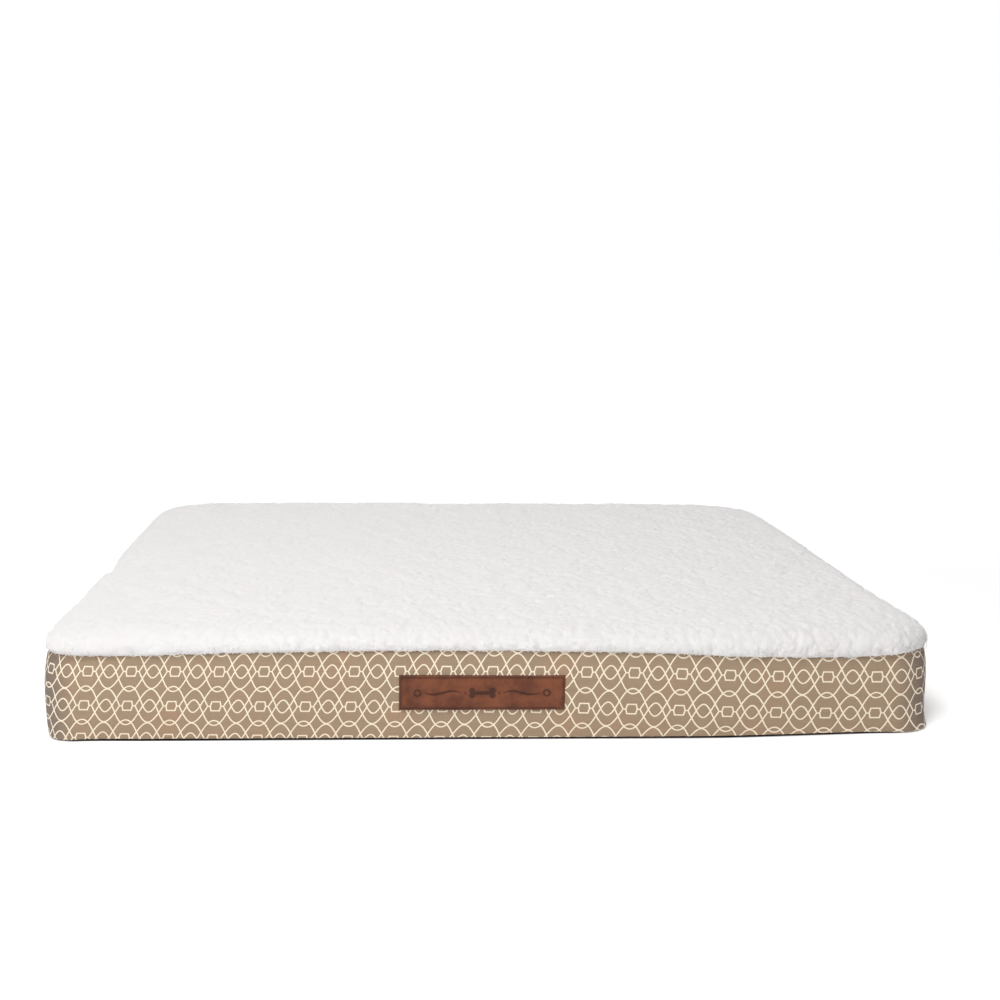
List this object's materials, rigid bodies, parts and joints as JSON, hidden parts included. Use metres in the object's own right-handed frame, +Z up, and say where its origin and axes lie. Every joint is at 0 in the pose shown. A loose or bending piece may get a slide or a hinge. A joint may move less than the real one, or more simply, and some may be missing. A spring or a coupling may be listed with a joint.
{
  "type": "pet cushion bed",
  "caption": "Low rectangular pet mattress with a sherpa top, printed zipped cover, leather label and two foam layers inside.",
  "frame": {"origin": "middle of the footprint, at the underside of the base cloth, on the floor", "axes": "+Z up out of the fleece top; +X along the bed's length, to the right when facing the leather label; the label's wall faces -Y and the zip faces +Y"},
  "size_m": [0.914, 0.6882, 0.116],
  "materials": {
    "sherpa_fleece": "matte",
    "printed_cloth": "matte",
    "base_cloth": "matte",
    "support_foam": "matte",
    "crate_foam": "matte",
    "tan_thread": "matte",
    "dark_thread": "matte",
    "label_leather": "satin",
    "satin_label": "satin",
    "zip_tape": "matte",
    "zip_coil": "satin",
    "zip_metal": "satin"
  },
  "bodies": {
    "bed": {"fleece_top_panel": "sherpa_fleece", "gusset_band": "printed_cloth", "gusset_back_upper": "printed_cloth", "gusset_back_lower": "printed_cloth", "bottom_panel": "base_cloth", "support_foam": "support_foam", "egg_crate_foam": "crate_foam", "top_seam_thread": "tan_thread", "bottom_seam_thread": "dark_thread", "back_seam_thread_left": "tan_thread", "back_seam_thread_right": "tan_thread", "zip_topstitch_upper": "tan_thread", "zip_topstitch_lower": "tan_thread", "label_patch": "label_leather", "label_thread": "dark_thread", "care_label": "satin_label", "zipper_tape_upper": "zip_tape", "zipper_tape_lower": "zip_tape", "zipper_coil_upper": "zip_coil", "zipper_coil_lower": "zip_coil", "zipper_top_stop_upper": "zip_metal", "zipper_top_stop_lower": "zip_metal", "zipper_bottom_stop": "zip_metal", "bar_tack_left": "tan_thread", "bar_tack_right": "tan_thread"},
    "slider": {"zipper_slider_body": "zip_metal", "zipper_slider_cap": "zip_metal"},
    "pull": {"zipper_pull_tab": "zip_metal"}
  },
  "joints": [
    {"name": "zipper_slide", "type": "slide", "parent": "bed", "child": "slider", "axis": [-1, 0, 0], "range_m": [0, 0.78]},
    {"name": "pull_swing", "type": "hinge", "parent": "slider", "child": "pull", "pos_m": [0.392, 0.3432, 0.0465], "axis": [0, 0, -1], "range_deg": [0, 170]}
  ]
}
